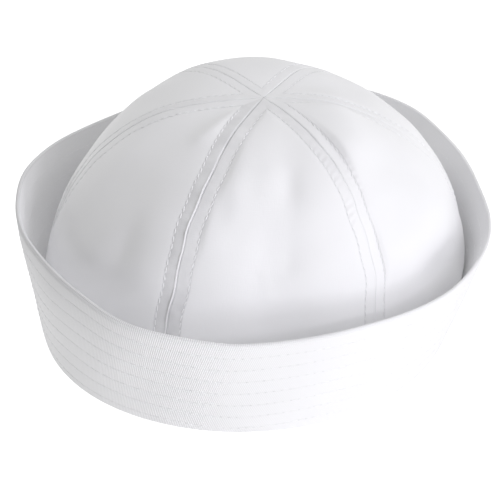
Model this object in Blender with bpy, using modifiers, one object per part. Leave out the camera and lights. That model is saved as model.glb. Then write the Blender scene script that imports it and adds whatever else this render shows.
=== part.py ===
"""Sailor cap: a round crown of six cloth gores, sewn into the fold of a tall brim that is turned up all round.

Metres, +Z up. The cap stands on the plane z = 0 with its front towards -Y, and the origin is the middle of
its footprint. A bearing is an angle in degrees from +X, counter-clockwise seen from above. A climb runs from
0 at the foot of the crown to 1 at its top.
"""

from collections import namedtuple
from math import asin, cos, degrees, exp, hypot, pi, radians, sin

import bpy
from mathutils import Vector

# Driving sizes.
CROWN_HALF_WIDTH = 0.0878       # foot of the crown, centre to ear
CROWN_HALF_LENGTH = 0.0992      # foot of the crown, centre to forehead
CROWN_HEIGHT = 0.1185           # floor to the outside of the top
CROWN_FULLNESS = 0.67           # 1 makes the crown a round dome; less gives it a broader shoulder
CROWN_SHOULDER = 0.97           # the same for the height
CROWN_BELLY = 0.072             # how far the side swells past the foot, as a share of the foot's size
CROWN_TOP_LEAN = 0.0015         # the top point lies this far towards +X
CROWN_CLOTH = 0.0015            # wall of a gore
PANEL_PUFF = 0.0004             # how far a gore stands out between its two seams
PANEL_MEAN = 0.6                # share of that puff which the seams are drawn in by
BRIM_CLOTH = 0.0025             # several layers of twill stitched together
BRIM_STAND_OFF = 0.0030         # foot of the crown to the outside of the brim's fold
FOLD_RADIUS = 0.0015            # rounding of the fold's two lower edges
LIP_HEIGHT = 0.0060             # the brim's inner edge, which the crown is sewn to
LIP_CLOTH = 0.0020
SEAM_GAP = 0.0006               # clear space between two gores
FOOT_GAP = 0.0004               # clear space between the crown and the brim's inner edge
TOP_OPENING = 0.0014            # radius of the small opening where the six points meet

# How finely the cloth is divided.
BRIM_COLUMNS = 96
RIM_STEPS = 4
FOLD_STEPS = 2
WALL_STEPS = 4
GORE_COLUMNS = 10
GORE_ROWS = 16
GORE_ROW_CROWDING = 1.5         # above 1, the rows of a gore lie closer together towards the top

WHITE_COTTON = (0.82, 0.82, 0.84, 1.0)
WHITE_TWILL = (0.86, 0.86, 0.88, 1.0)
COTTON_ROUGHNESS = 0.7
TWILL_ROUGHNESS = 0.85

# The brim at every 30 degrees: how far its foot stands out of the plain oval, how far the wall leans out
# from the fold to the rim, how high the rim is, and how far the wall bulges half-way up.
Side = namedtuple("Side", "bearing foot flare rise bulge")
SIDES = [
    Side(0, 0.0010, 0.0185, 0.0635, 0.0000),
    Side(30, 0.0000, 0.0171, 0.0645, 0.0000),
    Side(60, -0.0010, 0.0105, 0.0660, 0.0000),
    Side(90, -0.0005, 0.0110, 0.0685, 0.0000),
    Side(120, 0.0005, 0.0176, 0.0679, 0.0000),
    Side(150, 0.0000, 0.0155, 0.0670, 0.0000),
    Side(180, -0.0005, 0.0105, 0.0665, 0.0000),
    Side(210, 0.0003, 0.0128, 0.0665, 0.0000),
    Side(240, 0.0012, 0.0124, 0.0665, 0.0003),
    Side(270, 0.0009, 0.0107, 0.0655, 0.0005),
    Side(300, 0.0001, 0.0180, 0.0640, 0.0004),
    Side(330, 0.0003, 0.0198, 0.0630, 0.0000),
]

# Soft waves of the rim: the middle and half-width of each in degrees, and how far it lifts the rim.
Wave = namedtuple("Wave", "bearing half_width lift")
RIM_WAVES = [
    Wave(12, 12.0, -0.0013),
    Wave(35, 12.0, -0.0010),
    Wave(70, 12.0, -0.0015),
    Wave(102, 16.0, 0.0024),
    Wave(190, 12.0, -0.0012),
    Wave(232, 16.0, 0.0044),
    Wave(320, 9.0, -0.0012),
    Wave(343, 12.0, 0.0025),
]

# The crown at every 30 degrees: how far the cloth stands out of the plain round form, or is drawn in, at
# climbs of 0.25, 0.5 and 0.75.
Swell = namedtuple("Swell", "bearing low middle high")
SWELLS = [
    Swell(0, 0.0034, 0.0020, 0.0010),
    Swell(30, 0.0060, 0.0028, -0.0005),
    Swell(60, 0.0042, 0.0010, -0.0025),
    Swell(90, 0.0010, -0.0005, -0.0030),
    Swell(120, 0.0010, 0.0010, 0.0000),
    Swell(150, -0.0005, 0.0010, 0.0025),
    Swell(180, -0.0010, 0.0015, 0.0028),
    Swell(210, -0.0010, -0.0014, 0.0004),
    Swell(240, -0.0002, -0.0014, 0.0000),
    Swell(270, 0.0000, -0.0034, -0.0032),
    Swell(300, 0.0000, 0.0000, -0.0015),
    Swell(330, -0.0014, -0.0014, -0.0012),
]

# The six seams of the crown: where each one starts at the foot, and how far it bows sideways, in degrees.
Seam = namedtuple("Seam", "bearing bow")
SEAMS = [
    Seam(240.5, -1.5),
    Seam(300.5, 1.5),
    Seam(0.5, -0.5),
    Seam(57.0, -1.5),
    Seam(118.5, -0.5),
    Seam(181.5, 0.0),
]

# Soft dents in the crown: their middle, their half-width in degrees, half-height in climb, and depth, which
# is below zero for a soft bulge.
Dent = namedtuple("Dent", "bearing climb wide tall depth")
DENTS = [
    Dent(337, 0.70, 8.0, 0.09, 0.0012),
    Dent(329, 0.52, 11.0, 0.14, 0.0024),
    Dent(334, 0.24, 14.0, 0.10, 0.0016),
    Dent(26, 0.30, 12.0, 0.09, 0.0030),
    Dent(36, 0.17, 13.0, 0.07, -0.0020),
    Dent(238, 0.17, 12.0, 0.07, -0.0012),
    Dent(281, 0.47, 8.0, 0.14, 0.0014),
    Dent(262, 0.62, 6.0, 0.10, 0.0006),
    Dent(28, 0.60, 7.0, 0.12, 0.0010),
    Dent(196, 0.70, 8.0, 0.09, 0.0006),
]


def remove_everything():
    for obj in list(bpy.data.objects):
        bpy.data.objects.remove(obj, do_unlink=True)


def new_collection(name):
    collection = bpy.data.collections.new(name)
    bpy.context.scene.collection.children.link(collection)
    return collection


def cloth_material(name, colour, roughness):
    material = bpy.data.materials.new(name)
    material.use_nodes = True
    shader = material.node_tree.nodes["Principled BSDF"]
    shader.inputs["Base Color"].default_value = colour
    shader.inputs["Roughness"].default_value = roughness
    shader.inputs["Metallic"].default_value = 0.0
    return material


def catmull_rom(before, here, after, beyond, part):
    """The smooth curve through four equally spaced values, part of the way from the second to the third."""
    rise_here = (after - before) / 2.0
    rise_after = (beyond - here) / 2.0
    turn = 2.0 * (here - after) + rise_here + rise_after
    bend = 3.0 * (after - here) - 2.0 * rise_here - rise_after
    return ((turn * part + bend) * part + rise_here) * part + here


def round_the_cap(rows, column, bearing):
    """One column of a table that has a row at equal steps of bearing, read at any bearing."""
    index, part = divmod(bearing % 360.0 * len(rows) / 360.0, 1.0)
    values = [getattr(rows[(int(index) + step) % len(rows)], column) for step in (-1, 0, 1, 2)]
    return catmull_rom(*values, part)


def up_the_crown(values, climb):
    """Values at equal steps of climb, read at any climb; past the foot and the top they mirror."""
    index = min(int(climb * (len(values) - 1)), len(values) - 2)
    part = climb * (len(values) - 1) - index
    before = values[index - 1] if index else -values[1]
    beyond = values[index + 2] if index + 2 < len(values) else -values[-2]
    return catmull_rom(before, values[index], values[index + 1], beyond, part)


def foot_line(bearing):
    """The point of the crown's foot at a bearing, and the level direction out of it."""
    angle = radians(bearing)
    across = Vector((CROWN_HALF_WIDTH * cos(angle), CROWN_HALF_LENGTH * sin(angle), 0.0))
    outward = Vector((CROWN_HALF_LENGTH * cos(angle), CROWN_HALF_WIDTH * sin(angle), 0.0)).normalized()
    return across + outward * round_the_cap(SIDES, "foot", bearing), outward


def rim_rise(bearing):
    """How high the rim stands at a bearing."""
    rise = round_the_cap(SIDES, "rise", bearing)
    for wave in RIM_WAVES:
        aside = ((bearing - wave.bearing + 180.0) % 360.0 - 180.0) / wave.half_width
        rise += wave.lift * exp(-aside ** 2)
    return rise


def swell(bearing, climb):
    """How far the crown stands out of its plain round form."""
    levels = [round_the_cap(SWELLS, column, bearing) for column in ("low", "middle", "high")]
    amount = up_the_crown([0.0, *levels, 0.0], climb)
    for dent in DENTS:
        aside = ((bearing - dent.bearing + 180.0) % 360.0 - 180.0) / dent.wide
        above = (climb - dent.climb) / dent.tall
        amount -= dent.depth / (1.0 + aside ** 2 + above ** 2) ** 2
    return amount


def crown_point(bearing, climb, puff=0.0):
    """A point on the outside of the crown, raised by a gore's own puff."""
    angle = climb * pi / 2.0
    foot, outward = foot_line(bearing)
    reach = cos(angle) ** CROWN_FULLNESS * (1.0 + CROWN_BELLY * sin(2.0 * angle))
    height = CROWN_HEIGHT * sin(angle) ** CROWN_SHOULDER
    proud = swell(bearing, climb) + puff * sin(pi * climb)
    lean = Vector((CROWN_TOP_LEAN, 0.0, 0.0)) * climb ** 2
    up = Vector((0.0, 0.0, height + proud * sin(angle)))
    return foot * reach + outward * (proud * cos(angle)) + lean + up


def climb_at_height(height):
    return degrees(asin((height / CROWN_HEIGHT) ** (1.0 / CROWN_SHOULDER))) / 90.0


def climb_at_top_opening():
    """The climb at which the crown has closed to the small opening at its top."""
    low, high = 0.5, 1.0
    for _ in range(40):
        middle = (low + high) / 2.0
        reach = crown_point(90.0, middle).y
        low, high = (middle, high) if reach > TOP_OPENING else (low, middle)
    return low


def seam_bearing(seam, climb):
    return seam.bearing + seam.bow * sin(pi * climb)


def gore_point(right, left, across, climb):
    """A point of the gore between two seams, kept half a gap clear of each; across runs from 0 to 1."""
    start = seam_bearing(right, climb)
    span = (seam_bearing(left, climb) - start) % 360.0
    middle = crown_point(start + span / 2.0, climb)
    margin = degrees(asin(SEAM_GAP / 2.0 / hypot(middle.x - CROWN_TOP_LEAN, middle.y)))
    bearing = start + margin + (span - 2.0 * margin) * across
    return crown_point(bearing, climb, PANEL_PUFF * (sin(pi * across) - PANEL_MEAN))


def gore(name, right, left, material):
    """One cloth panel: a grid laid on the crown between two seams, thickened inwards."""
    bpy.ops.mesh.primitive_grid_add(x_subdivisions=GORE_COLUMNS, y_subdivisions=GORE_ROWS, size=2.0)
    panel = bpy.context.object
    panel.name = name
    panel.data.name = name
    bottom = climb_at_height(LIP_HEIGHT + FOOT_GAP)
    top = climb_at_top_opening()
    for vertex in panel.data.vertices:
        across = (vertex.co.x + 1.0) / 2.0
        row = (vertex.co.y + 1.0) / 2.0
        climb = bottom + (top - bottom) * (1.0 - (1.0 - row) ** GORE_ROW_CROWDING)
        vertex.co = gore_point(right, left, across, climb)
    shell = panel.modifiers.new("cloth", "SOLIDIFY")
    shell.thickness = CROWN_CLOTH
    shell.offset = -1.0
    panel.data.materials.append(material)
    panel.data.shade_smooth()
    return panel


def rounded_corner(start, corner, end, steps):
    """Points from start to end, round a corner."""
    points = []
    for step in range(steps + 1):
        part = step / steps
        points.append(start.lerp(corner, part).lerp(corner.lerp(end, part), part))
    return points


def brim_section(bearing):
    """The brim cut through at a bearing: points (outward from the crown's foot, up), counter-clockwise.

    They run up the outside of the wall, over the rim, down the inside into the fold, over the inner edge
    that the crown is sewn to, and back under the fold.
    """
    flare = round_the_cap(SIDES, "flare", bearing)
    bulge = round_the_cap(SIDES, "bulge", bearing)
    rise = rim_rise(bearing)
    slant = hypot(flare, rise)
    up_wall = Vector((flare, rise)) / slant
    into_wall = Vector((-rise, flare)) / slant
    base = Vector((BRIM_STAND_OFF, 0.0))
    rim_radius = BRIM_CLOTH / 2.0

    outside_fold = rounded_corner(
        base - Vector((FOLD_RADIUS, 0.0)), base, base + up_wall * FOLD_RADIUS, FOLD_STEPS)
    outside = []
    for step in range(1, WALL_STEPS):
        part = step / WALL_STEPS
        outside.append(base + up_wall * (slant * part) - into_wall * (bulge * 4.0 * part * (1.0 - part)))
    rim_middle = base + up_wall * (slant - rim_radius) + into_wall * rim_radius
    rim = []
    for step in range(RIM_STEPS + 1):
        turn = pi * step / RIM_STEPS
        rim.append(rim_middle + up_wall * (rim_radius * sin(turn)) - into_wall * (rim_radius * cos(turn)))
    inside = [point + into_wall * BRIM_CLOTH for point in reversed(outside)]
    gutter_along = (BRIM_CLOTH - into_wall.y * BRIM_CLOTH) / up_wall.y
    gutter = [base + up_wall * gutter_along + into_wall * BRIM_CLOTH, Vector((0.0, BRIM_CLOTH))]
    lip = [Vector((0.0, LIP_HEIGHT)), Vector((-LIP_CLOTH, LIP_HEIGHT))]
    inner_corner = Vector((-LIP_CLOTH, 0.0))
    inside_fold = rounded_corner(
        inner_corner + Vector((0.0, FOLD_RADIUS)), inner_corner, inner_corner + Vector((FOLD_RADIUS, 0.0)),
        FOLD_STEPS)
    return [*outside_fold, *outside, *rim, *inside, *gutter, *lip, *inside_fold]


def brim(name, material):
    """The turned-up brim: a torus whose minor ring takes the brim's section at each bearing."""
    section_points = len(brim_section(0.0))
    bpy.ops.mesh.primitive_torus_add(major_segments=BRIM_COLUMNS, minor_segments=section_points)
    ring = bpy.context.object
    ring.name = name
    ring.data.name = name
    for column in range(BRIM_COLUMNS):
        bearing = 360.0 * column / BRIM_COLUMNS
        foot, outward = foot_line(bearing)
        for index, point in enumerate(brim_section(bearing)):
            place = foot + outward * point.x + Vector((0.0, 0.0, point.y))
            ring.data.vertices[column * section_points + index].co = place
    ring.data.materials.append(material)
    ring.data.shade_smooth()
    return ring


def footprint_middle(obj):
    """The middle of an object's level bounding rectangle, on the floor."""
    xs = [vertex.co.x for vertex in obj.data.vertices]
    ys = [vertex.co.y for vertex in obj.data.vertices]
    return Vector(((min(xs) + max(xs)) / 2.0, (min(ys) + max(ys)) / 2.0, 0.0))


def main():
    remove_everything()
    cap = new_collection("sailor_cap")
    pieces = [brim("brim", cloth_material("brim_twill", WHITE_TWILL, TWILL_ROUGHNESS))]
    for number, (right, left) in enumerate(zip(SEAMS, SEAMS[1:] + SEAMS[:1]), start=1):
        cotton = cloth_material(f"crown_cotton_{number}", WHITE_COTTON, COTTON_ROUGHNESS)
        pieces.append(gore(f"crown_gore_{number}", right, left, cotton))

    centre = bpy.data.objects.new("sailor_cap_centre", None)
    cap.objects.link(centre)
    centre.location = -footprint_middle(pieces[0])
    for piece in pieces:
        for holder in list(piece.users_collection):
            holder.objects.unlink(piece)
        cap.objects.link(piece)
        piece.parent = centre


main()
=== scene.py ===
"""Looks of the sailor cap: fine cloth, seams, stitches and finishes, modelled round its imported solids.

Metres, +Z up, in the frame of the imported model: the cap stands on z = 0 with its front towards -Y. A bearing
is an angle in degrees from +X, counter-clockwise seen from above. A climb runs from 0 at the foot of the
crown to 1 at its top. The sizes and tables of the crown and the brim are those of the solids.
"""

from collections import namedtuple
from math import cos, pi, radians, sin

import bpy
import numpy as np
from mathutils import Matrix, Vector


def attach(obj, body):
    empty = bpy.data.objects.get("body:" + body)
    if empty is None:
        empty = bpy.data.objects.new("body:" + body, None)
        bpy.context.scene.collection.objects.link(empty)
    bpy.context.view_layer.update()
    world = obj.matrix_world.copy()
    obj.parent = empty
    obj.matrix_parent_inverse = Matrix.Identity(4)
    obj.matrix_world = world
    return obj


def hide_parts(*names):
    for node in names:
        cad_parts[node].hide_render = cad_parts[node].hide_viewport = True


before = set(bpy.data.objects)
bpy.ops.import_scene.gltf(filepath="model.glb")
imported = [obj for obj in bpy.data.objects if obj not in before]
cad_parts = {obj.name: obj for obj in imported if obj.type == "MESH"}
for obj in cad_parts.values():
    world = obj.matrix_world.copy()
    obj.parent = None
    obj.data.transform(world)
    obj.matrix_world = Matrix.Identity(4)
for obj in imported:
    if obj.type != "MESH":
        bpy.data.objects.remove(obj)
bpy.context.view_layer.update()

MM = 0.001

# The crown and the brim.
CROWN_HALF_WIDTH = 0.0878
CROWN_HALF_LENGTH = 0.0992
CROWN_HEIGHT = 0.1185
CROWN_FULLNESS = 0.67  # power that rounds the way in to the top
CROWN_SHOULDER = 0.97  # power that rounds the way up
CROWN_BELLY = 0.072  # share by which the sides swell half-way up
CROWN_TOP_LEAN = 0.0015
CROWN_CLOTH = 0.0015
CROWN_FOOT_HEIGHT = 0.0064
PANEL_PUFF = 0.0004  # how far the middle of a gore stands out
PANEL_MEAN = 0.6  # share of the puff by which the whole gore is set back
BRIM_CLOTH = 0.0025
BRIM_STAND_OFF = 0.0030  # from the crown's foot to the outside of the brim's foot
FOLD_RADIUS = 0.0015
LIP_HEIGHT = 0.0060
LIP_CLOTH = 0.0020

# The brim at every 30 degrees: how far its foot stands out of the plain oval, how far the wall leans out
# from the fold to the rim, how high the rim is, and how far the wall bulges half-way up.
Side = namedtuple("Side", "bearing foot flare rise bulge")
SIDES = [
    Side(0, 0.0010, 0.0185, 0.0635, 0.0),
    Side(30, 0.0, 0.0171, 0.0645, 0.0),
    Side(60, -0.0010, 0.0105, 0.0660, 0.0),
    Side(90, -0.0005, 0.0110, 0.0685, 0.0),
    Side(120, 0.0005, 0.0176, 0.0679, 0.0),
    Side(150, 0.0, 0.0155, 0.0670, 0.0),
    Side(180, -0.0005, 0.0105, 0.0665, 0.0),
    Side(210, 0.0003, 0.0128, 0.0665, 0.0),
    Side(240, 0.0012, 0.0124, 0.0665, 0.0003),
    Side(270, 0.0009, 0.0107, 0.0655, 0.0005),
    Side(300, 0.0001, 0.0180, 0.0640, 0.0004),
    Side(330, 0.0003, 0.0198, 0.0630, 0.0),
]

# Soft waves of the rim: the middle and half-width of each in degrees, and how far it lifts the rim.
Wave = namedtuple("Wave", "bearing half_width lift")
RIM_WAVES = [
    Wave(12, 12.0, -0.0013),
    Wave(35, 12.0, -0.0010),
    Wave(70, 12.0, -0.0015),
    Wave(102, 16.0, 0.0024),
    Wave(190, 12.0, -0.0012),
    Wave(232, 16.0, 0.0044),
    Wave(320, 9.0, -0.0012),
    Wave(343, 12.0, 0.0025),
]

# The crown at every 30 degrees: how far the cloth stands out of the plain round form, or is drawn in, at
# climbs of 0.25, 0.5 and 0.75.
Swell = namedtuple("Swell", "bearing low middle high")
SWELLS = [
    Swell(0, 0.0034, 0.0020, 0.0010),
    Swell(30, 0.0060, 0.0028, -0.0005),
    Swell(60, 0.0042, 0.0010, -0.0025),
    Swell(90, 0.0010, -0.0005, -0.0030),
    Swell(120, 0.0010, 0.0010, 0.0),
    Swell(150, -0.0005, 0.0010, 0.0025),
    Swell(180, -0.0010, 0.0015, 0.0028),
    Swell(210, -0.0010, -0.0014, 0.0004),
    Swell(240, -0.0002, -0.0014, 0.0),
    Swell(270, 0.0, -0.0034, -0.0032),
    Swell(300, 0.0, 0.0, -0.0015),
    Swell(330, -0.0014, -0.0014, -0.0012),
]

# The six seams of the crown: where each one stands, how far it bows sideways and how far its foot strays, in
# degrees; how proud the folded edge on its clockwise side is, and how strongly the stitches pucker the cloth;
# its distances to the stitches on its clockwise and counter-clockwise sides, and how far the cloth swells
# beyond them; and how much painted shade darkens the doubled cloth beside it, and how much more near the top.
Seam = namedtuple(
    "Seam", "bearing bow lean ridge pucker before after swell_before swell_after dull dull_high")
SEAMS = [
    Seam(240.5, -1.5, 0.0, 0.00012, 0.00005, 0.0049, 0.0049, 0.0, 0.0, 0.0, 0.10),
    Seam(300.8, 1.5, 0.0, 0.00056, 0.00002, 0.0054, 0.0056, 0.0008, 0.0009, 0.23, 0.0),
    Seam(0.5, -0.5, -3.4, 0.00014, 0.00015, 0.0049, 0.0049, 0.0, 0.0007, -0.02, 0.17),
    Seam(57.0, -1.5, 0.0, 0.00010, 0.00010, 0.0049, 0.0049, 0.0, 0.0, 0.0, 0.09),
    Seam(118.5, -0.5, 0.0, 0.00010, 0.00008, 0.0049, 0.0049, 0.0, 0.0, 0.0, 0.06),
    Seam(181.5, 0.0, 0.0, 0.00010, 0.00006, 0.0049, 0.0049, 0.0, 0.0, 0.0, 0.06),
]

# Soft dents in the crown: their middle, their half-width in degrees, half-height in climb, and depth, which
# is below zero for a soft bulge.
Dent = namedtuple("Dent", "bearing climb wide tall depth")
DENTS = [
    Dent(337, 0.70, 8.0, 0.09, 0.0012),
    Dent(329, 0.52, 11.0, 0.14, 0.0024),
    Dent(334, 0.24, 14.0, 0.10, 0.0016),
    Dent(26, 0.30, 12.0, 0.09, 0.0030),
    Dent(36, 0.17, 13.0, 0.07, -0.0020),
    Dent(238, 0.17, 12.0, 0.07, -0.0012),
    Dent(281, 0.47, 8.0, 0.14, 0.0014),
    Dent(262, 0.62, 6.0, 0.10, 0.0006),
    Dent(28, 0.60, 7.0, 0.12, 0.0010),
    Dent(196, 0.70, 8.0, 0.09, 0.0006),
]

# Soft folds in the crown's cloth, each from one point to another: half-width, and how far it stands out.
Fold = namedtuple("Fold", "bearing climb to_bearing to_climb half_width rise")
FOLDS = [
    Fold(340, 0.74, 335, 0.46, 0.0045, -0.0004),
    Fold(328, 0.45, 329, 0.38, 0.0025, 0.0002),
    Fold(285, 0.94, 281, 0.84, 0.0045, 0.0007),
    Fold(38, 0.87, 16, 0.77, 0.0130, 0.0030),
    Fold(249, 0.31, 270, 0.31, 0.0180, 0.0018),
    Fold(341, 0.78, 337, 0.50, 0.0100, -0.0007),
    Fold(329, 0.40, 329, 0.28, 0.0120, -0.0007),
    Fold(8, 0.305, 34, 0.290, 0.0080, -0.0022),
    Fold(10, 0.42, 32, 0.42, 0.0150, 0.0022),
    Fold(334, 0.94, 327, 0.78, 0.0075, 0.0007),
    Fold(46, 0.18, 48, 0.26, 0.0090, 0.0009),
]
FOLDS_CLEAR_SEAMS = (0.003, 0.008)  # distances from a seam where they start and where they are full

SEAM_WANDER = 0.28  # degrees that a sewn line strays to each side of its smooth curve

# The gores' grids.
SEAM_CLEARANCE = 0.0001  # half the clear space between two gores
TOP_CLEARANCE = 0.0004  # between a gore's last row and the top point
GORE_ROWS = 176
GORE_MIDDLE_COLUMNS = 56
EDGE_COLUMNS = [0, .10, .22, .36, .55, .80, 1.1, 1.5, 2.1, 2.8, 3.5, 4.0, 4.3, 4.55, 4.75, 4.9, 5.05,
                5.25, 5.5, 5.8, 6.2, 6.8, 7.6, 8.7, 10.0]  # millimetres from the seam
EDGE_SHARE = 0.42  # the most of a gore's width that these columns take at each seam

# The stitches of the crown.
BAND_WIDTH = 0.0049  # seam to its row of stitches
STITCH_LENGTH = 0.0034
THREAD_RADIUS = 0.00023
ROOM_FOR_ROWS = 0.0008  # the rows end where they would come this close to each other

# The two sides of a gore: how far beyond the stitches the cloth has fully swelled, the climb where it starts
# to swell, how far from the seam the puckers are, and the stitches' slant in degrees and their seed.
Edge = namedtuple("Edge", "reach starts pucker_at slant seed")
EDGES = {
    "start": Edge(0.0030, 0.42, 0.0050, 9.0, 5),
    "end": Edge(0.0050, 0.70, 0.0036, -9.0, 3),
}

# The brim's wall, measured down from the rim.
BRIM_COLUMNS = 520
RIM_POINTS = 9
RIM_CLOTH = 0.0018  # the wall thins to this at the rolled rim
RIM_TAPER = 0.014  # over this distance
Curl = namedtuple("Curl", "bearing half_width out")
RIM_CURL = Curl(262, 24.0, -0.0008)  # where the rim curls, and how far out: below zero is inwards
CURL_DROP = 0.016  # how far down from the rim the curl reaches
FIRST_ROW = 0.0090
ROW_STEP = 0.0087
ROW_COUNT = 7
BRIM_STITCH = 0.0038
ROW_SHIFT = 0.37  # each row's stitches start this share of a stitch after those of the row above
DROPS_AT_RIM = [1.35, 1.6, 1.8, 2.0, 2.2, 2.5, 3.2, 4.6, 6.2]  # millimetres
DROPS_AT_ROW = [-1.1, -0.6, -0.3, 0.0, 0.3, 0.6, 1.1]  # millimetres from each row of stitches
DROPS_BETWEEN = [2.6, 4.35, 6.1]  # millimetres below each row but the last, which has only the first
LIP_ROUND = 0.0006

# The twill of the brim: from one rib to the next, round the brim and up the wall.
TWILL_ACROSS = 0.000894
TWILL_UP = 0.00342
RIBS = 756
RIM_AROUND = TWILL_ACROSS * RIBS
STITCH_ROUND = RIM_AROUND / round(RIM_AROUND / BRIM_STITCH)


# --- Shape of the cap ---

def catmull_rom(before, here, after, beyond, part):
    """The smooth curve through four equally spaced values, part of the way from the second to the third."""
    rise_here = (after - before) / 2.0
    rise_after = (beyond - here) / 2.0
    turn = 2.0 * (here - after) + rise_here + rise_after
    bend = 3.0 * (after - here) - 2.0 * rise_here - rise_after
    return ((turn * part + bend) * part + rise_here) * part + here


def round_the_cap(rows, column, bearing):
    """One column of a table that has a row at equal steps of bearing, read at any bearings."""
    values = np.array([getattr(row, column) for row in rows])
    place = np.mod(bearing, 360.0) * len(values) / 360.0
    index = np.floor(place).astype(int)
    around = [values[(index + step) % len(values)] for step in (-1, 0, 1, 2)]
    return catmull_rom(*around, place - index)


def up_the_crown(values, climb):
    """Values at equal steps of climb, read at any climbs; past the foot and the top they mirror."""
    padded = np.stack([-values[1], *values, -values[-2]])
    place = climb * (len(values) - 1)
    index = np.clip(np.floor(place).astype(int), 0, len(values) - 2)
    around = [np.take_along_axis(padded, (index + step)[None], axis=0)[0] for step in (0, 1, 2, 3)]
    return catmull_rom(*around, place - index)


def unit(vectors):
    return vectors / np.maximum(np.linalg.norm(vectors, axis=-1, keepdims=True), 1e-12)


def level(x, y):
    return np.stack([x, y, np.zeros_like(x)], axis=-1)


def smooth_step(low, high, value):
    part = np.clip((value - low) / (high - low), 0.0, 1.0)
    return part * part * (3.0 - 2.0 * part)


def fade(low, high, value):
    return 1.0 - smooth_step(low, high, value)


def hump(value, half_width):
    return np.exp(-(value / half_width) ** 2)


def groove(distance, depth, half_width):
    return -depth * hump(distance, half_width)


def degrees_between(bearing, middle):
    """How far a bearing is from a middle one, from -180 to 180."""
    return (bearing - middle + 180.0) % 360.0 - 180.0


def foot_line(bearing):
    """Points of the crown's foot at some bearings, and the level directions out of them."""
    angle = np.radians(bearing)
    across = level(CROWN_HALF_WIDTH * np.cos(angle), CROWN_HALF_LENGTH * np.sin(angle))
    outward = unit(level(CROWN_HALF_LENGTH * np.cos(angle), CROWN_HALF_WIDTH * np.sin(angle)))
    return across + outward * round_the_cap(SIDES, "foot", bearing)[..., None], outward


def rim_rise(bearing):
    """How high the rim stands at some bearings."""
    rise = round_the_cap(SIDES, "rise", bearing)
    for wave in RIM_WAVES:
        rise = rise + wave.lift * hump(degrees_between(bearing, wave.bearing), wave.half_width)
    return rise


def swell(bearing, climb):
    """How far the crown stands out of its plain round form."""
    levels = [round_the_cap(SWELLS, column, bearing) for column in ("low", "middle", "high")]
    flat = np.zeros_like(levels[0])
    amount = up_the_crown([flat, *levels, flat], climb)
    for dent in DENTS:
        aside = degrees_between(bearing, dent.bearing) / dent.wide
        above = (climb - dent.climb) / dent.tall
        amount = amount - dent.depth / (1.0 + aside ** 2 + above ** 2) ** 2
    return amount


def crown_point(bearing, climb, puff=0.0):
    """Points on the outside of the crown, raised by a gore's own puff."""
    bearing, climb, puff = np.broadcast_arrays(bearing, climb, puff)
    angle = climb * pi / 2.0
    foot, outward = foot_line(bearing)
    reach = np.cos(angle) ** CROWN_FULLNESS * (1.0 + CROWN_BELLY * np.sin(2.0 * angle))
    height = CROWN_HEIGHT * np.sin(angle) ** CROWN_SHOULDER
    proud = swell(bearing, climb) + puff * np.sin(pi * climb)
    point = foot * reach[..., None] + outward * (proud * np.cos(angle))[..., None]
    point[..., 0] += CROWN_TOP_LEAN * climb ** 2
    point[..., 2] += height + proud * np.sin(angle)
    return point


def seam_bearing(seam, climb):
    """The bearing of a seam at some climbs."""
    slow_waves, slow_shift, quick_waves, quick_shift, quick_share, lean_ends = 3.3, 77.0, 8.1, 0.2, 0.6, 0.55
    stray = np.sin(2.0 * pi * (slow_waves * climb + seam.bearing / slow_shift))
    stray = stray + quick_share * np.sin(2.0 * pi * (quick_waves * climb + quick_shift))
    lean = seam.lean * fade(0.0, lean_ends, climb)
    return seam.bearing + lean + (seam.bow + SEAM_WANDER * stray) * np.sin(pi * climb)


def soft_waves(points, seed, shortest, longest, count=28):
    """A smooth random value of about -1 to 1 at each point, made of plane waves."""
    rng = np.random.default_rng(seed)
    total = np.zeros(points.shape[:-1])
    for _ in range(count):
        direction = unit(rng.normal(size=3))
        length = rng.uniform(shortest, longest)
        total += np.sin(points @ direction * 2.0 * pi / length + rng.uniform(0.0, 2.0 * pi))
    return total / (count / 2.0) ** 0.5


def run_lengths(points):
    """Length along each row of points, from its first point."""
    steps = np.linalg.norm(np.diff(points, axis=-2), axis=-1)
    start = np.zeros(steps.shape[:-1] + (1,))
    return np.concatenate([start, np.cumsum(steps, axis=-1)], axis=-1)


def grid_normals(points):
    """Outward normals of a grid whose rows go up and whose columns go counter-clockwise."""
    return unit(np.cross(np.gradient(points, axis=1), np.gradient(points, axis=0)))


# --- Meshes ---

def new_object(name, data):
    made = bpy.data.objects.new(name, data)
    bpy.context.scene.collection.objects.link(made)
    return made


def mesh_object(name, points, faces, material, cloth=None, sharp=50.0):
    """An object from points and four-sided faces; cloth holds each face corner's place on the cloth."""
    mesh = bpy.data.meshes.new(name)
    mesh.from_pydata(points.reshape(-1, 3).tolist(), [], faces.tolist())
    if cloth is not None:
        layer = mesh.attributes.new("cloth", "FLOAT_VECTOR", "CORNER")
        layer.data.foreach_set("vector", cloth.astype(np.float32).ravel())
    mesh.shade_smooth()
    mesh.set_sharp_from_angle(angle=radians(sharp))
    mesh.materials.append(material)
    piece = new_object(name, mesh)
    piece.location = CENTRE
    return piece


def quads(first, second, third, fourth):
    return np.stack([first.ravel(), second.ravel(), third.ravel(), fourth.ravel()], axis=1)


def sheet_faces(index):
    """Faces of a grid of point numbers, seen from outside."""
    return quads(index[:-1, :-1], index[:-1, 1:], index[1:, 1:], index[1:, :-1])


def shell_faces(rows, columns):
    """Faces of a closed sheet: the outside grid's points come first, then the inside grid's."""
    outer = np.arange(rows * columns).reshape(rows, columns)
    inner = outer + rows * columns
    return np.concatenate([
        sheet_faces(outer),
        sheet_faces(inner)[:, ::-1],
        quads(inner[0, :-1], inner[0, 1:], outer[0, 1:], outer[0, :-1]),
        quads(outer[-1, :-1], outer[-1, 1:], inner[-1, 1:], inner[-1, :-1]),
        quads(outer[:-1, 0], outer[1:, 0], inner[1:, 0], inner[:-1, 0]),
        quads(inner[:-1, -1], inner[1:, -1], outer[1:, -1], outer[:-1, -1]),
    ])


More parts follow.
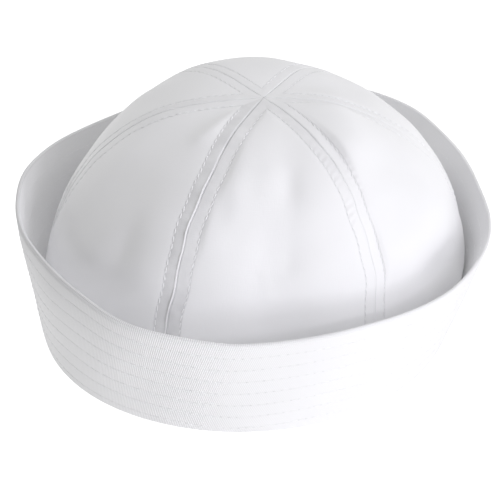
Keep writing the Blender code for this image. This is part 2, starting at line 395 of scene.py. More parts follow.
def dress(piece, slot, *nodes):
    """The piece rides on the cap and may stand for some solids, which it hides. The slot is not used."""
    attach(piece, "root")
    if nodes:
        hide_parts(*nodes)


# --- Stitches ---

# The rings of a thread: their place along it in half lengths, and their radius and lift in thread radii.
Ring = namedtuple("Ring", "along width lift")
STITCH_RINGS = [
    Ring(-1.0, 0.30, -1.0),
    Ring(-0.82, 0.85, -0.1),
    Ring(-0.35, 1.0, 0.45),
    Ring(0.35, 1.0, 0.45),
    Ring(0.82, 0.85, -0.1),
    Ring(1.0, 0.30, -1.0),
]
STITCH_SIDES = 6


def stitches_along(points, normals, length, pitch, radius, slant, seed, start=0.0):
    """Points of the stitches on one line, as (stitch, ring, side, xyz); length runs along the line."""
    rng = np.random.default_rng(seed)
    middles = np.arange(start + pitch / 2.0, length[-1] - pitch / 3.0, pitch)

    def read(values, at):
        return np.stack([np.interp(at, length, values[:, axis]) for axis in range(3)], axis=-1)

    place = read(points, middles)
    ahead = read(points, middles + pitch / 3.0)
    normal = unit(read(normals, middles))
    along = unit(ahead - place)
    side = unit(np.cross(along, normal))
    turns_by, half_share, varies, thinnest, thickest = 2.5, 0.40, 0.03, 0.9, 1.12
    turn = np.radians(slant + rng.normal(0.0, turns_by, len(middles)))[:, None]
    along, side = along * np.cos(turn) + side * np.sin(turn), side * np.cos(turn) - along * np.sin(turn)
    half = (pitch * (half_share + rng.uniform(-varies, varies, len(middles))))[:, None]
    thick = (radius * rng.uniform(thinnest, thickest, len(middles)))[:, None]
    rings = []
    for ring in STITCH_RINGS:
        middle = place + along * half * ring.along + normal * thick * ring.lift
        for corner in range(STITCH_SIDES):
            angle = 2.0 * pi * corner / STITCH_SIDES
            rings.append(middle + (normal * cos(angle) + side * sin(angle)) * thick * ring.width)
    return np.stack(rings, axis=1).reshape(len(middles), len(STITCH_RINGS), STITCH_SIDES, 3)


def stitch_object(name, runs, material):
    """All stitches of some lines, joined into one mesh of closed rounded threads."""
    points = np.concatenate(runs)
    count, rings, sides = points.shape[:3]
    index = np.arange(count * rings * sides).reshape(count, rings, sides)
    wrapped = np.concatenate([index, index[:, :, :1]], axis=2)
    low, high = wrapped[:, :-1], wrapped[:, 1:]
    faces = [quads(low[:, :, :-1], low[:, :, 1:], high[:, :, 1:], high[:, :, :-1])]
    for ring, order in ((0, -1), (rings - 1, 1)):
        cap = index[:, ring, ::order]
        faces.append(quads(cap[:, 0], cap[:, 1], cap[:, 2], cap[:, 3]))
        faces.append(quads(cap[:, 0], cap[:, 3], cap[:, 4], cap[:, 5]))
    return mesh_object(name, points, np.concatenate(faces), material, sharp=80.0)


# --- Crown ---

def climbs_up_a_gore(bearing, rows):
    """Climbs from the foot to the top, at about equal steps along the cloth."""
    dense = np.linspace(0.0, 1.0, num=4001)
    line = crown_point(np.full_like(dense, bearing), dense)
    length = run_lengths(line)
    bottom = np.interp(CROWN_FOOT_HEIGHT, line[:, 2], length)
    top = length[-1] - TOP_CLEARANCE
    return np.interp(np.linspace(bottom, top, rows), length, dense)


def column_distances(width, start_scale, end_scale):
    """Distances from a gore's first seam to its columns, for each row's width: closest near both seams."""
    reach = EDGE_COLUMNS[-1]
    places = np.array(EDGE_COLUMNS) / reach
    first, last = [np.minimum(reach * MM * scale, EDGE_SHARE * width)[:, None]
                   for scale in (start_scale, end_scale)]
    steps = np.linspace(0.0, 1.0, GORE_MIDDLE_COLUMNS + 1)[1:-1]
    middle = first + (width[:, None] - first - last) * steps
    return np.concatenate([first * places, middle, width[:, None] - last * places[::-1]], axis=1)


def folded_edge(ridge, distance, climb, uneven):
    """The edge that lies folded over a seam: the band slopes up to it, and a thin crest runs along it."""
    crest_comes, crest_goes, slope_goes = (0.02, 0.20), (0.62, 0.80), (0.68, 0.84)
    share, varies, crest_at, crest_half_width = 0.8, 0.36, 0.0003, 0.00036
    shown = smooth_step(*crest_comes, climb) * fade(*crest_goes, climb)
    slope = share * np.clip(1.0 - distance / BAND_WIDTH, 0.0, 1.0) * fade(*slope_goes, climb)
    crest = (share + varies * uneven) * hump(distance - crest_at, crest_half_width)
    return ridge * (slope + crest * shown)


def shoulder_rise(height, edge, distance, climb, width, uneven):
    """The soft swelling of the cloth beyond a row of stitches, which ends before the middle of the gore."""
    lead, full_for, ends_after, climb_to_full, varies = 0.0005, 0.0010, 0.0130, 0.24, 0.3
    room_goes = (0.14, 0.48)
    beyond = distance - BAND_WIDTH
    ends = edge.reach + full_for, edge.reach + ends_after
    near = smooth_step(-lead, edge.reach, beyond) * fade(*ends, beyond)
    begun = smooth_step(edge.starts, edge.starts + climb_to_full, climb)
    return height * begun * (1.0 + varies * uneven) * near * fade(*room_goes, distance / width)


def painted_band_shading(seam, side, distance, climb, uneven):
    """How much painted shade darkens the doubled cloth beside a seam, out to just past its row of stitches."""
    before_row, past_row, top, varies = 0.0002, 0.0004, (0.55, 0.80), 0.2
    band = fade(BAND_WIDTH - before_row, BAND_WIDTH + past_row, distance)
    dull = seam.dull + seam.dull_high * smooth_step(*top, climb)
    if side == "start":
        share, more_low_down, goes = 0.60, 1.40, (0.26, 0.50)
        dull = dull * (share + more_low_down * fade(*goes, climb))
    return dull * (1.0 + varies * uneven) * band


def pucker_relief(strength, pucker_at, distance, along, climb, uneven):
    """Small ripples across the row of stitches, one for each stitch."""
    come, go, varies, slant, half_width = (0.40, 0.62), (0.76, 0.86), 0.6, 0.25, 0.0021
    strength = strength * smooth_step(*come, climb) * fade(*go, climb) * (1.0 + varies * uneven)
    ripple = np.sin(2.0 * pi * (along + slant * distance) / STITCH_LENGTH)
    return strength * ripple * hump(distance - pucker_at, half_width)


def seam_relief(seam, side, distance, along, climb, width, uneven, loose):
    """How far the cloth on one side of a seam stands out of the plain gore."""
    edge = EDGES[side]
    gore_widens, keeps_at_row, beat, deepens = (0.0005, 0.0070), 1.4, 0.30, (0.58, 0.72)
    size = smooth_step(*gore_widens, width)
    valley = groove(distance - BAND_WIDTH, depth=0.00012, half_width=0.0013)
    furrow = groove(distance - BAND_WIDTH, depth=0.00012, half_width=0.00034)
    furrow = furrow * (1.0 - beat + beat * np.cos(2.0 * pi * along / STITCH_LENGTH))
    depth, more_near_top = 0.00022, 0.00032
    seam_groove = groove(distance, depth + more_near_top * smooth_step(*deepens, climb), half_width=0.00024)
    if side == "end":
        raised = folded_edge(seam.ridge, distance, climb, uneven)
        raised += shoulder_rise(seam.swell_before, edge, distance, climb, width, loose)
    else:
        loss, goes = 0.9, (0.78, 0.90)
        raised = shoulder_rise(seam.swell_after, edge, distance, climb, width, loose)
        raised *= 1.0 - loss * smooth_step(*goes, climb)
    puckers = pucker_relief(seam.pucker, edge.pucker_at, distance, along, climb, uneven)
    return (valley + raised + furrow) * np.minimum(size * keeps_at_row, 1.0) + (seam_groove + puckers) * size


def fold_relief(points):
    """Soft folds: each is highest along the line between its two ends."""
    total = np.zeros(points.shape[:-1])
    for fold in FOLDS:
        start = crown_point(fold.bearing, fold.climb)
        way = crown_point(fold.to_bearing, fold.to_climb) - start
        part = np.clip((points - start) @ way / (way @ way), 0.0, 1.0)
        gap = np.linalg.norm(points - start - part[..., None] * way, axis=-1)
        total += fold.rise * hump(gap, fold.half_width)
    return total


class Gore:
    """One cloth panel between two seams: fine grids of its outside and its inside."""

    def __init__(self, number, start, end):
        self.number = number
        self.scales = {"start": start.after / BAND_WIDTH, "end": end.before / BAND_WIDTH}
        middle = start.bearing + ((end.bearing - start.bearing) % 360.0) / 2.0
        climb = climbs_up_a_gore(middle, GORE_ROWS)[:, None]
        plain = self.plain_grid(start, end, climb)
        self.along = run_lengths(plain[:, plain.shape[1] // 2])[:, None]

        away, width = self.away, self.width[:, None]
        from_start = away / self.scales["start"]
        from_end = (width - away) / self.scales["end"]
        from_edge = np.minimum(away, width - away)
        self.nearest = np.minimum(from_start, from_end)
        uneven = soft_waves(plain, seed=11, shortest=0.004, longest=0.014)
        loose = soft_waves(plain, seed=13, shortest=0.014, longest=0.034)
        reliefs, painted_band_shades = [], []
        for side, seam, distance in (("start", start, from_start), ("end", end, from_end)):
            reliefs.append(seam_relief(seam, side, distance, self.along, climb, width, uneven, loose))
            painted_band_shades.append(painted_band_shading(seam, side, distance, climb, uneven))
        relief = np.where(away < width / 2.0, *reliefs)
        # Painted shade on the doubled cloth beside the seams, from the nearer seam.
        self.dull = np.where(away < width / 2.0, *painted_band_shades)
        relief += fold_relief(plain) * smooth_step(*FOLDS_CLEAR_SEAMS, from_edge)
        wave_height = 0.00022
        relief += wave_height * soft_waves(plain, seed=7, shortest=0.020, longest=0.055)

        normal = grid_normals(plain)
        allowance, ends, notch_half_width = 0.0006, (0.0062, 0.0070), 0.0004
        turned_under = allowance * fade(*ends, from_edge) - allowance * hump(from_edge, notch_half_width)
        self.outside = plain + normal * relief[..., None]
        self.inside = plain - normal * (CROWN_CLOTH + turned_under)[..., None]
        self.normals = grid_normals(self.outside)

    def plain_grid(self, start, end, climb):
        """The gore without its relief, with columns at chosen distances from its seams."""
        first = seam_bearing(start, climb)
        span = (seam_bearing(end, climb) - first) % 360.0

        def across(part):
            puff = PANEL_PUFF * (np.sin(pi * part) - PANEL_MEAN)
            return crown_point(first + span * part, climb, puff)

        part = np.linspace(0.0, 1.0, num=161)
        length = run_lengths(across(part))
        self.width = length[:, -1] - 2.0 * SEAM_CLEARANCE
        self.away = column_distances(self.width, *self.scales.values())
        parts = [np.interp(row + SEAM_CLEARANCE, run, part) for row, run in zip(self.away, length)]
        return across(np.array(parts))

    def line_at(self, distance, side):
        """The cloth's surface along a line beside one seam, as far up as there is room, and its normals."""
        distance = distance * self.scales[side]
        rows = np.flatnonzero(self.width > 2.0 * distance + ROOM_FOR_ROWS)
        goal = np.full(len(self.width), distance) if side == "start" else self.width - distance
        points, normals = [], []
        for row in rows:
            column = np.interp(goal[row], self.away[row], np.arange(self.away.shape[1]))
            low = int(column)
            part = column - low
            for values, line in ((self.outside, points), (self.normals, normals)):
                line.append(values[row, low] * (1 - part) + values[row, low + 1] * part)
        return np.array(points), np.array(normals), self.along[rows, 0]

    def build(self, material):
        rows, columns = self.away.shape
        faces = shell_faces(rows, columns)
        across = self.away - self.width[:, None] / 2.0
        up = np.broadcast_to(self.along, across.shape)
        cloth = np.stack([across, up, self.nearest], axis=-1).reshape(-1, 3)
        cloth = np.concatenate([cloth, cloth])
        points = np.concatenate([self.outside.reshape(-1, 3), self.inside.reshape(-1, 3)])
        panel = mesh_object(f"crown_panel_{self.number}", points, faces, material, cloth[faces])
        # The painted shade beside the seams goes to the material as an attribute.
        layer = panel.data.attributes.new("dull", "FLOAT", "POINT")
        layer.data.foreach_set("value", np.tile(self.dull.ravel(), 2).astype(np.float32))
        dress(panel, "crown_cotton", f"crown_gore_{self.number}")


def crown(cotton, thread):
    runs = []
    for number, (start, end) in enumerate(zip(SEAMS, SEAMS[1:] + SEAMS[:1]), start=1):
        gore = Gore(number, start, end)
        gore.build(cotton)
        for side, edge in EDGES.items():
            line, normals, along = gore.line_at(BAND_WIDTH, side)
            seed = 10 * number + edge.seed
            runs.append(stitches_along(line, normals, along, STITCH_LENGTH, THREAD_RADIUS, edge.slant, seed))
    dress(stitch_object("crown_stitches", runs, thread), "crown_cotton")


# --- Brim ---

WALL_FOOT = np.array([BRIM_STAND_OFF, 0.0])


def row_drops():
    return FIRST_ROW + ROW_STEP * np.arange(ROW_COUNT)


def wall_drops():
    """Distances down the wall from the rim to the points of its section: close together at each row."""
    at_rows = row_drops()[:, None] + np.array(DROPS_AT_ROW) * MM
    between = (row_drops()[:, None] + np.array(DROPS_BETWEEN) * MM).ravel()[:1 - len(DROPS_BETWEEN)]
    return np.sort(np.concatenate([np.array(DROPS_AT_RIM) * MM, at_rows.ravel(), between]))


def rim_run(rim):
    """How far round the rim each column is, and the whole way round, scaled so that the ribs close."""
    run = run_lengths(np.concatenate([rim, rim[:1]]))
    return run * (RIM_AROUND / run[-1])


def wall_relief(drop, bearing):
    """Rolled rim, furrows at the rows of stitches, and the soft quilting between them."""
    rim_groove_at, faint, come = 0.0017, 0.1, (256.0, 292.0)
    quilt_height, quilt_starts = 0.00005, (0.0030, 0.0080)
    rim_groove = groove(drop - rim_groove_at, depth=0.00035, half_width=0.00060)
    away = np.abs(drop[..., None] - row_drops()).min(axis=-1)
    shown = faint + (1.0 - faint) * smooth_step(*come, bearing)
    furrow = groove(away, depth=0.00008, half_width=0.00040) * shown[:, None]
    quilt = quilt_height * smooth_step(0.0, ROW_STEP / 2.0, away)
    return rim_groove + furrow + quilt * smooth_step(*quilt_starts, drop)


def rounded_corner(start, middle, end):
    part = np.linspace(0.0, 1.0, num=5)[:, None]
    return start * (1 - part) ** 2 + middle * 2 * part * (1 - part) + end * part ** 2


class Wall:
    """The brim's wall at some bearings. Points of its section are distances out of the foot line, and up."""

    def __init__(self, bearing):
        flare = round_the_cap(SIDES, "flare", bearing)
        rise = rim_rise(bearing)
        self.bearing = bearing
        self.slant = np.hypot(flare, rise)[:, None]
        self.up = np.stack([flare, rise], axis=-1)[:, None] / self.slant[..., None]
        self.inward = np.stack([-self.up[..., 1], self.up[..., 0]], axis=-1)
        self.bulge = round_the_cap(SIDES, "bulge", bearing)[:, None]
        self.curl = RIM_CURL.out * hump(bearing - RIM_CURL.bearing, RIM_CURL.half_width)[:, None]

    def at(self, drop, depth):
        """Points at some distances down the wall and deep into it."""
        part = 1.0 - drop / self.slant
        curled = self.curl * np.clip(1.0 - drop / CURL_DROP, 0.0, 1.0) ** 2
        depth = depth - self.bulge * 4.0 * part * (1.0 - part) - curled
        return WALL_FOOT + self.up * (self.slant - drop)[..., None] + self.inward * depth[..., None]

    def drops(self):
        """Distances down both faces of the wall, with two more below the last row."""
        drops = np.broadcast_to(wall_drops(), (len(self.bearing), len(wall_drops())))
        tail = drops[:, -1:] + (self.slant - 2.0 * FOLD_RADIUS - drops[:, -1:]) * np.array([[0.5, 1.0]])
        return np.concatenate([drops, tail], axis=1)

    def rim(self):
        """The rolled rim, half round."""
        radius = RIM_CLOTH / 2.0
        turns = pi * np.arange(RIM_POINTS) / (RIM_POINTS - 1.0)
        every = np.ones((len(self.bearing), 1))
        return self.at(every * (radius - radius * np.sin(turns)), every * (radius - radius * np.cos(turns)))

    def gutter(self):
        """Where the wall's inner face meets the top of the fold."""
        up = self.up * (BRIM_CLOTH * (1 - self.inward[..., 1:]) / self.up[..., 1:])
        return WALL_FOOT + up + self.inward * BRIM_CLOTH


def lip_section():
    """The short edge inside the crown's foot, over its top and down round the fold."""
    wide, slight = LIP_ROUND, LIP_ROUND * 0.3
    top = np.array([
        (0.0, BRIM_CLOTH),
        (0.0, LIP_HEIGHT - wide),
        (-slight, LIP_HEIGHT - slight),
        (-wide, LIP_HEIGHT),
        (wide - LIP_CLOTH, LIP_HEIGHT),
        (slight - LIP_CLOTH, LIP_HEIGHT - slight),
        (-LIP_CLOTH, LIP_HEIGHT - wide),
    ])
    inner = np.array([-LIP_CLOTH, 0.0])
    fold = rounded_corner(inner + np.array([0.0, FOLD_RADIUS]), inner, inner + np.array([FOLD_RADIUS, 0.0]))
    return np.concatenate([top, fold])


def brim_section(wall):
    """The brim's closed section at each bearing, counter-clockwise, and the number of its first rim point."""
    drops = wall.drops()
    relief = wall_relief(drops, wall.bearing)
    outside = wall.at(drops, -relief)[:, ::-1]
    thickness = RIM_CLOTH + (BRIM_CLOTH - RIM_CLOTH) * smooth_step(RIM_CLOTH / 2.0, RIM_TAPER, drops)
    share_inside = 0.2
    inside = wall.at(drops, thickness + share_inside * relief)
    under_fold = WALL_FOOT + np.array([-FOLD_RADIUS, 0.0])
    fold = rounded_corner(under_fold, WALL_FOOT, WALL_FOOT + wall.up * FOLD_RADIUS)
    lip = lip_section()
    lip = np.broadcast_to(lip, (len(wall.bearing),) + lip.shape)
    section = np.concatenate([fold, outside, wall.rim(), inside, wall.gutter(), lip], axis=1)
    return section, fold.shape[1] + outside.shape[1]


def brim_grid(bearing):
    """The brim's points, as (bearing, point, xyz), how far down each is, and the first rim point's number."""
    wall = Wall(bearing)
    section, rim_at = brim_section(wall)
    down = wall.slant - section[..., 1] / wall.up[..., 1]
    foot, outward = foot_line(bearing)
    points = foot[:, None] + outward[:, None] * section[..., :1]
    points[..., 2] += section[..., 1]
    wave_height, rises = 0.00035, (0.006, 0.030)
    wave = wave_height * soft_waves(points, seed=3, shortest=0.035, longest=0.090)
    points += outward[:, None] * (wave * smooth_step(*rises, points[..., 2]))[..., None]
    wave_height, rises = 0.0004, (0.05, 0.062)
    wave = wave_height * soft_waves(points, seed=5, shortest=0.05, longest=0.12)
    points[..., 2] += wave * smooth_step(*rises, points[..., 2])
    return points, down, rim_at


def brim_cloth_places(around, down, outer):
    """Each face corner's place on the brim's cloth: round the rim, up from it, and 1 on the outer side."""
    here = np.broadcast_to(around[:-1, None], down.shape)
    there = np.broadcast_to(around[1:, None], down.shape)

    def corner(run, drop, outer_side):
        return np.stack([run, -drop, outer_side], axis=-1).reshape(-1, 3)

    following = np.roll(down, -1, axis=0)
    next_outer = np.roll(outer, -1, axis=1)
    return np.stack([
        corner(here, down, outer),
        corner(there, following, outer),
        corner(there, np.roll(following, -1, axis=1), next_outer),
        corner(here, np.roll(down, -1, axis=1), next_outer),
    ], axis=1)


def brim_normals(points):
    """Outward normals of the brim's points."""
    ring = np.concatenate([points[-1:], points, points[:1]])
    return unit(np.cross(ring[2:] - ring[:-2], np.gradient(points, axis=1)))


def brim(twill, thread):
    bearing = 360.0 * np.arange(BRIM_COLUMNS) / BRIM_COLUMNS
    points, down, rim_at = brim_grid(bearing)
    low = np.arange(down.size).reshape(down.shape)
    high = np.roll(low, -1, axis=1)
    faces = quads(low, np.roll(low, -1, axis=0), np.roll(high, -1, axis=0), high)
    around = rim_run(points[:, rim_at])
    outer = np.broadcast_to(np.arange(down.shape[1]) < rim_at + RIM_POINTS, down.shape)
    cloth = brim_cloth_places(around, down, outer)
    dress(mesh_object("brim_cloth", points, faces, twill, cloth), "brim_twill", "brim")

    normals = brim_normals(points)
    drops = wall_drops()
    outer_thread, inner_thread, first_seed = 0.00014, 0.00007, 100
    runs = []
    for row in range(ROW_COUNT):
        step = int(np.argmin(np.abs(drops - FIRST_ROW - ROW_STEP * row)))
        start = (ROW_SHIFT * row % 1.0) * STITCH_ROUND
        seed = first_seed + row
        for at, radius in ((rim_at - 1 - step, outer_thread), (rim_at + RIM_POINTS + step, inner_thread)):
            line, across = [np.concatenate([grid[:, at], grid[:1, at]]) for grid in (points, normals)]
            runs.append(stitches_along(line, across, around, STITCH_ROUND, radius, 0.0, seed, start))
    dress(stitch_object("brim_stitches", runs, thread), "brim_twill")


# --- Materials ---

WHITE = 0.88
BLUER = 1.01  # how much bluer than grey the cloth is
PAINTED_SHADE = (0.34, 0.34, 0.35)  # painted shade in furrows and holes, under the rim and beside seams
# The colour of the painted shadow beside each stitch of the crown.
STITCH_PAINTED_SHADOW = (0.42, 0.42, 0.44)
CREST_FIRST = 0.25  # shift that puts the crest of a wave at 0


class Nodes:
    """A material's node tree, written as short expressions."""

    def __init__(self, name):
        self.material = bpy.data.materials.new(name)
        self.material.use_nodes = True
        self.tree = self.material.node_tree
        self.shader = self.tree.nodes["Principled BSDF"]

    def new(self, kind, *values, **settings):
        made = self.tree.nodes.new(kind)
        for name, value in settings.items():
            setattr(made, name, value)
        for socket, value in zip(made.inputs, values):
            self.put(socket, value)
        return made

    def put(self, socket, value):
        """Links or sets a socket, or leaves it where the value is None."""
        if isinstance(value, bpy.types.NodeSocket):
            self.tree.links.new(value, socket)
        elif value is not None:
            socket.default_value = value

    def math(self, operation, *values):
        return self.new("ShaderNodeMath", *values, operation=operation).outputs[0]

    def product(self, total, *others):
        for value in others:
            total = self.math("MULTIPLY", total, value)
        return total

    def scaled(self, value, gain, shift):
        return self.math("MULTIPLY_ADD", value, gain, shift)

    def wave(self, phase):
        """0 to 1 and back once in each unit of phase."""
        return self.scaled(self.math("SINE", self.product(phase, 2.0 * pi)), gain=0.5, shift=0.5)

    def hump(self, value, middle, half_width):
        """1 at the middle, and less and less to both sides of it."""
        away = self.math("DIVIDE", self.math("SUBTRACT", value, middle), half_width)
        return self.math("EXPONENT", self.product(away, away, -1.0))

    def cloth(self):
        """The place on the cloth, and its values: along it and up it in metres, and the piece's own."""
        place = self.new("ShaderNodeAttribute", attribute_name="cloth").outputs["Vector"]
        return (place, *self.new("ShaderNodeSeparateXYZ", place).outputs)

    def noise(self, place, along, up, detail):
        """Noise with so many features to the metre along the cloth and up it."""
        stretched = self.new("ShaderNodeVectorMath", place, operation="MULTIPLY")
        stretched.inputs[1].default_value = (along, up, 1.0)
        made = self.new("ShaderNodeTexNoise", stretched.outputs[0])
        set_inputs(made, {"Scale": 1.0, "Detail": detail})
        return made.outputs[0]

    def zone(self, around, rises, falls, low, high):
        """High on one part of the rim and low on the rest: it rises and falls between pairs of bearings."""
        start, full, fading, end = [RIM_AROUND * bearing / 360.0 for bearing in (*rises, *falls)]
        rising = self.new("ShaderNodeMapRange", around, start, full, low, high)
        falling = self.new("ShaderNodeMapRange", around, fading, end, high, low)
        return self.math("MINIMUM", rising.outputs[0], falling.outputs[0])

    def heights(self, first, *others):
        """Patterns, each with its height in metres, added up."""
        total = self.math("MULTIPLY", *first)
        for pattern, height in others:
            total = self.math("MULTIPLY_ADD", pattern, height, total)
        return total

    def shade(self, colour, to, factor):
        """A colour that turns to another as factor goes from 0 to 1."""
        mixing = self.tree.nodes.new("ShaderNodeMix")
        mixing.data_type = "RGBA"
        factor_in, _, _, _, _, _, from_in, to_in = mixing.inputs[:8]
        self.put(factor_in, factor)
        self.put(from_in, colour if isinstance(colour, bpy.types.NodeSocket) else (*colour, 1.0))
        self.put(to_in, (*to, 1.0))
        return mixing.outputs[2]

    def finish(self, colour, height, roughness, sheen, specular):
        """The finished material; height is the bump's, in metres, or None."""
        self.put(self.shader.inputs["Base Color"], colour)
        set_inputs(self.shader, {"Roughness": roughness, "Specular IOR Level": specular,
                                 "Sheen Weight": sheen, "Sheen Roughness": 0.5})
        if height is not None:
            bump = self.new("ShaderNodeBump")
            set_inputs(bump, {"Strength": 1.0, "Distance": 1.0})
            self.put(bump.inputs["Height"], height)
            self.put(self.shader.inputs["Normal"], bump.outputs["Normal"])
        return self.material


def set_inputs(node, values):
    for name, value in values.items():
        node.inputs[name].default_value = value


def white(lightness):
    return (lightness, lightness, min(lightness * BLUER, 1.0))


def twill_row_painted_shade(n, place, u, v):
    """Where the rows of stitches run, and their painted shade: broken, with a spot at each stitch."""
    rows = n.math("DIVIDE", n.math("SUBTRACT", n.product(v, -1.0), FIRST_ROW), ROW_STEP)
    row = n.math("ROUND", rows)
    real = n.product(n.math("GREATER_THAN", row, -0.5), n.math("LESS_THAN", row, ROW_COUNT - 0.5))
    line = n.product(n.hump(rows, row, half_width=0.00030 / ROW_STEP), real)
    stitch = n.math("SUBTRACT", n.math("DIVIDE", u, STITCH_ROUND), n.product(row, ROW_SHIFT))
    sharpness, darkness, row_apart = 9.0, 0.35, 1000.0
    hole = n.math("POWER", n.wave(n.math("ADD", stitch, CREST_FIRST)), sharpness)
    number = n.math("MULTIPLY_ADD", row, row_apart, n.math("ROUND", stitch))
    chance = n.new("ShaderNodeTexWhiteNoise", None, number, noise_dimensions="1D").outputs["Value"]
    depth = n.product(hole, n.math("POWER", chance, 2.0))
    broken = n.scaled(n.noise(place, along=260.0, up=120.0, detail=2.0), gain=1.10, shift=-0.36)
    return line, n.math("MAXIMUM", n.math("MULTIPLY_ADD", depth, darkness, broken), 0.0)


def twill_rim_painted_shade(n, u, v):
    """The painted shade in the groove under the rim, and over the wall's upper part, darkest at the rim."""
    under_rim = n.hump(v, middle=-0.0013, half_width=0.0007)
    shaded = n.zone(u, rises=(205.0, 230.0), falls=(262.0, 292.0), low=0.08, high=0.45)
    upper = n.hump(v, middle=0.0, half_width=0.020)
    # Painted shade over the wall's upper part on one side, darkest at the rim.
    upper_painted_shade = n.zone(u, rises=(205.0, 230.0), falls=(275.0, 300.0), low=0.01, high=0.28)
    return n.math("MULTIPLY_ADD", upper, upper_painted_shade, n.product(under_rim, shaded))


def twill_material():
    n = Nodes("brim_twill")
    place, u, v, outer = n.cloth()
    rib = n.wave(n.math("SUBTRACT", n.math("DIVIDE", u, TWILL_ACROSS), n.math("DIVIDE", v, TWILL_UP)))
    clouds = n.noise(place, along=160.0, up=500.0, detail=3.0)
    fuzz = n.noise(place, along=2600.0, up=1500.0, detail=2.0)
    front = n.zone(u, rises=(268.0, 296.0), falls=(310.0, 334.0), low=0.08, high=1.0)
    back = n.product(n.zone(u, rises=(85.0, 110.0), falls=(195.0, 220.0), low=0.0, high=1.0), outer)
    crisp = n.math("MAXIMUM", front, back)
    # Where the ribs fade, the cloth is also painted darker: painted shade on the sides.
    blurred_and_shaded, darker, lighter = 0.38, 0.18, 0.11
    rib = n.math("MULTIPLY_ADD", n.math("SUBTRACT", rib, blurred_and_shaded), crisp, blurred_and_shaded)
    colour = n.shade(white(WHITE - darker), white(WHITE + lighter), rib)

    # Painted shade in the rows' furrows and holes, strongest at the front.
    line, strength = twill_row_painted_shade(n, place, u, v)
    shown = n.zone(u, rises=(260.0, 290.0), falls=(322.0, 350.0), low=0.15, high=1.25)
    shown = n.math("MAXIMUM", shown, back)
    colour = n.shade(colour, PAINTED_SHADE, n.product(n.product(line, outer), n.product(strength, shown)))
    # Painted shade under the rim and over the upper wall.
    colour = n.shade(colour, PAINTED_SHADE, n.product(twill_rim_painted_shade(n, u, v), outer))
    height = n.heights((rib, 0.00016), (fuzz, 0.00004), (clouds, 0.00006))
    return n.finish(colour, height, roughness=0.8, sheen=0.25, specular=0.2)


def cotton_material():
    n = Nodes("crown_cotton")
    place, _, v, from_seam = n.cloth()
    warp = n.noise(place, along=2300.0, up=240.0, detail=2.0)
    weft = n.noise(place, along=240.0, up=2300.0, detail=2.0)
    clouds = n.noise(place, along=60.0, up=60.0, detail=3.0)
    varies = 0.015
    colour = n.shade(white(WHITE - varies), white(WHITE + varies), clouds)
    # Painted shade on the doubled cloth beside the seams.
    dull = n.new("ShaderNodeAttribute", attribute_name="dull").outputs["Fac"]
    colour = n.shade(colour, PAINTED_SHADE, dull)

    # A painted shadow beside each row of stitches, with a tick at each stitch.
    off_row = n.math("SUBTRACT", from_seam, BAND_WIDTH)
    line = n.hump(off_row, middle=0.00028, half_width=0.00030)
    turns = n.math("ADD", n.math("DIVIDE", v, STITCH_LENGTH), n.math("DIVIDE", off_row, STITCH_LENGTH / 4.0))
    tick = n.math("POWER", n.wave(n.math("ADD", turns, CREST_FIRST)), 2.0)
    colour = n.shade(colour, STITCH_PAINTED_SHADOW, n.product(line, n.scaled(tick, gain=0.30, shift=0.30)))
    height = n.heights((n.math("ADD", warp, weft), 0.00004), (clouds, 0.00020))
    return n.finish(colour, height, roughness=0.55, sheen=0.2, specular=0.35)


def thread_material():
    return Nodes("white_thread").finish((*white(WHITE), 1.0), None, roughness=0.6, sheen=0.3, specular=0.3)


# --- Stage ---

CAMERA_AZIMUTH = radians(50.99)
CAMERA_ELEVATION = radians(32.20)
CAMERA_DISTANCE = 0.85663
CAMERA_ROLL = radians(2.847)
ORBIT_HEIGHT = 0.060  # the camera's distance and angles are measured from this height
AIM_SIDEWAYS = -0.00181
AIM_HEIGHT = 0.03473

# Disk lights round the cap, all at one distance.
PLAIN = (1.0, 1.0, 1.0)
COOL = (0.985, 0.975, 1.050)
LIGHT_DISTANCE = 1.3
LIGHT_AIM_HEIGHT = 0.06
Light = namedtuple("Light", "name bearing elevation size watts colour")
LIGHTS = [
    Light("key", 15.0, 20.0, 0.5, 3.12, COOL),
    Light("low", 0.0, 3.0, 0.5, 5.15, COOL),
    Light("high", 15.0, 38.0, 0.5, 2.90, COOL),
    Light("spot", 352.0, 28.0, 0.1, 1.30, COOL),
    Light("top", 120.0, 60.0, 0.5, 4.81, PLAIN),
    Light("fill", 195.0, 20.0, 0.5, 2.82, PLAIN),
    Light("side", 110.0, 5.0, 0.5, 1.52, PLAIN),
]
BACKDROP_SEEN = 1.05  # how bright floor and sky are in the picture
SKY_LIGHT = 0.210  # how much the sky lights the cap
FLOOR_LIGHT = 0.61  # how much the floor does


UP = Vector((0.0, 0.0, 1.0))


def place_camera():
    level_back = Vector((sin(CAMERA_AZIMUTH), -cos(CAMERA_AZIMUTH), 0.0))
    level_right = Vector((cos(CAMERA_AZIMUTH), sin(CAMERA_AZIMUTH), 0.0))
    back = level_back * cos(CAMERA_ELEVATION) + UP * sin(CAMERA_ELEVATION)
    place = back * CAMERA_DISTANCE + UP * ORBIT_HEIGHT
    aim = level_right * AIM_SIDEWAYS + UP * AIM_HEIGHT
    forward = (aim - place).normalized()
    right = forward.cross(UP).normalized()
    up = right.cross(forward)
    rolled_right = right * cos(CAMERA_ROLL) + up * sin(CAMERA_ROLL)
    rolled_up = up * cos(CAMERA_ROLL) - right * sin(CAMERA_ROLL)
    data = bpy.data.cameras.new("camera")
    data.lens = 131.1
    data.sensor_width = 36.0
    data.clip_start = 0.01
    camera = new_object("camera", data)
    turned = Matrix((rolled_right, rolled_up, -forward)).transposed().to_4x4()
    camera.matrix_world = Matrix.Translation(place + CENTRE) @ turned
    bpy.context.scene.camera = camera


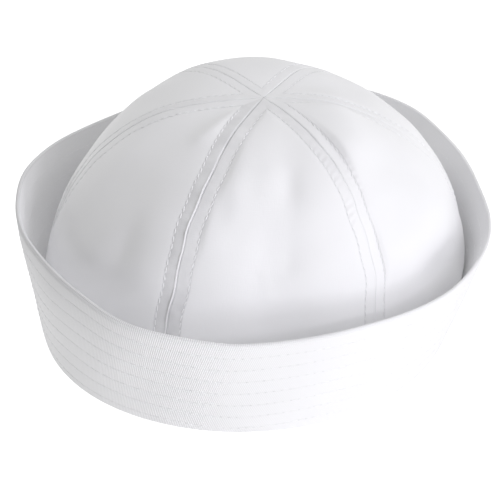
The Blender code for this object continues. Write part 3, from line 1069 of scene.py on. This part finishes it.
def place_light(light):
    data = bpy.data.lights.new(light.name, "AREA")
    data.shape = "DISK"
    data.size = light.size
    data.energy = light.watts
    data.color = light.colour
    lamp = new_object(light.name, data)
    tilt, turn = radians(light.elevation), radians(light.bearing)
    back = Vector((cos(turn) * cos(tilt), sin(turn) * cos(tilt), sin(tilt)))
    lamp.location = UP * LIGHT_AIM_HEIGHT + back * LIGHT_DISTANCE
    lamp.rotation_euler = back.to_track_quat("Z", "Y").to_euler()


def seen_and_felt(tree, seen, felt):
    """A strength that is one value where the camera sees the stage and another where it lights the cap."""
    path = tree.nodes.new("ShaderNodeLightPath")
    mix = tree.nodes.new("ShaderNodeMix")
    set_inputs(mix, {"A": felt, "B": seen})
    tree.links.new(path.outputs["Is Camera Ray"], mix.inputs["Factor"])
    return mix.outputs["Result"]


def set_stage():
    white_light = (*PLAIN, 1.0)
    world = bpy.data.worlds.new("studio")
    world.use_nodes = True
    tree = world.node_tree
    background = tree.nodes["Background"]
    set_inputs(background, {"Color": white_light})
    tree.links.new(seen_and_felt(tree, BACKDROP_SEEN, SKY_LIGHT), background.inputs["Strength"])
    scene = bpy.context.scene
    scene.world = world

    bpy.ops.mesh.primitive_plane_add(size=4.0, location=(0.0, 0.0, -0.0002))
    floor = bpy.context.object
    floor.name = "floor"
    material = bpy.data.materials.new("pale_floor")
    material.use_nodes = True
    tree = material.node_tree
    shader = tree.nodes["Principled BSDF"]
    set_inputs(shader, {"Base Color": (0.5, 0.5, 0.5, 1.0), "Roughness": 1.0,
                        "Specular IOR Level": 0.0, "Emission Color": white_light})
    tree.links.new(seen_and_felt(tree, BACKDROP_SEEN, FLOOR_LIGHT), shader.inputs["Emission Strength"])
    floor.data.materials.append(material)

    for light in LIGHTS:
        place_light(light)
    scene.cycles.diffuse_bounces = 12
    scene.view_settings.view_transform = "Standard"
    scene.view_settings.look = "None"
    scene.view_settings.gamma = 1.4


# --- The scene ---

def footprint_middle():
    """The middle of the solid brim's footprint, before it was moved to the origin."""
    bearing = np.arange(0.0, 360.0, 3.75)
    flare = round_the_cap(SIDES, "flare", bearing)
    rise = rim_rise(bearing)
    rim_radius = BRIM_CLOTH / 2.0
    slant = np.hypot(flare, rise)
    reach = BRIM_STAND_OFF + (flare * (slant - rim_radius) - rise * rim_radius) / slant
    foot, outward = foot_line(bearing)
    edges = []
    for turn in pi * np.arange(5) / 4.0:
        out = reach + rim_radius * (np.sin(turn) * flare + np.cos(turn) * rise) / slant
        edges.append(foot + outward * out[:, None])
    edges = np.concatenate(edges)
    return (edges.min(axis=0) + edges.max(axis=0)) / 2.0


CENTRE = Vector(-footprint_middle())

place_camera()
set_stage()
thread = thread_material()
crown(cotton_material(), thread)
brim(twill_material(), thread)
